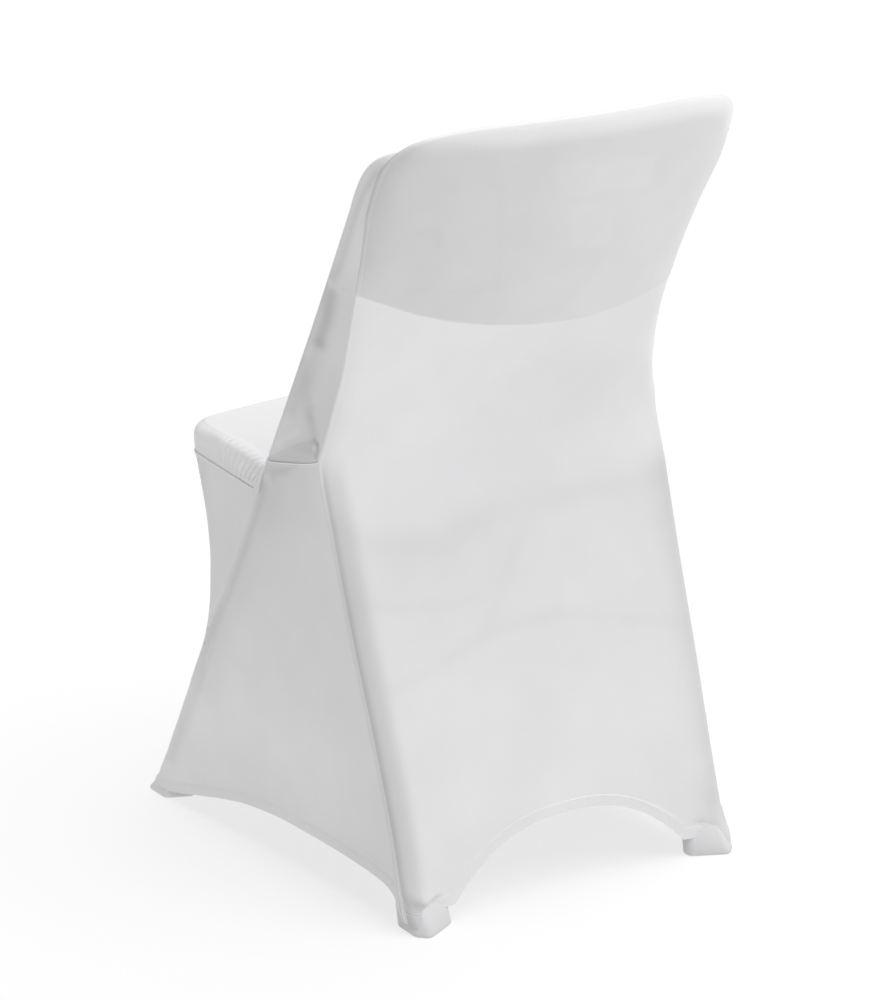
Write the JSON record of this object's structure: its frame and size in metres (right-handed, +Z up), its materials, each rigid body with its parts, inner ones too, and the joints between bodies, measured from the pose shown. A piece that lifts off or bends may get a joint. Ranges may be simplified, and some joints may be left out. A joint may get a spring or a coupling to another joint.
{
  "type": "folding chair cover",
  "caption": "Fitted stretch-fabric cover for a folding chair: arched back panel, boxed seat, gathered skirt and pockets that slip under the feet.",
  "frame": {"origin": "on the floor under the middle of the cover", "axes": "+Z up, -Y the way that the chair faces, +X the seated person's left"},
  "size_m": [0.4406, 0.531, 0.8593],
  "materials": {
    "panel_cloth": "matt",
    "pocket_cloth": "matt"
  },
  "bodies": {
    "root": {"back_panel": "panel_cloth", "inner_back_panel": "panel_cloth", "seat_panel": "panel_cloth", "skirt": "panel_cloth", "foot_pocket_rear_left": "pocket_cloth", "foot_pocket_rear_right": "pocket_cloth", "foot_pocket_front_left": "pocket_cloth", "foot_pocket_front_right": "pocket_cloth"}
  },
  "joints": []
}
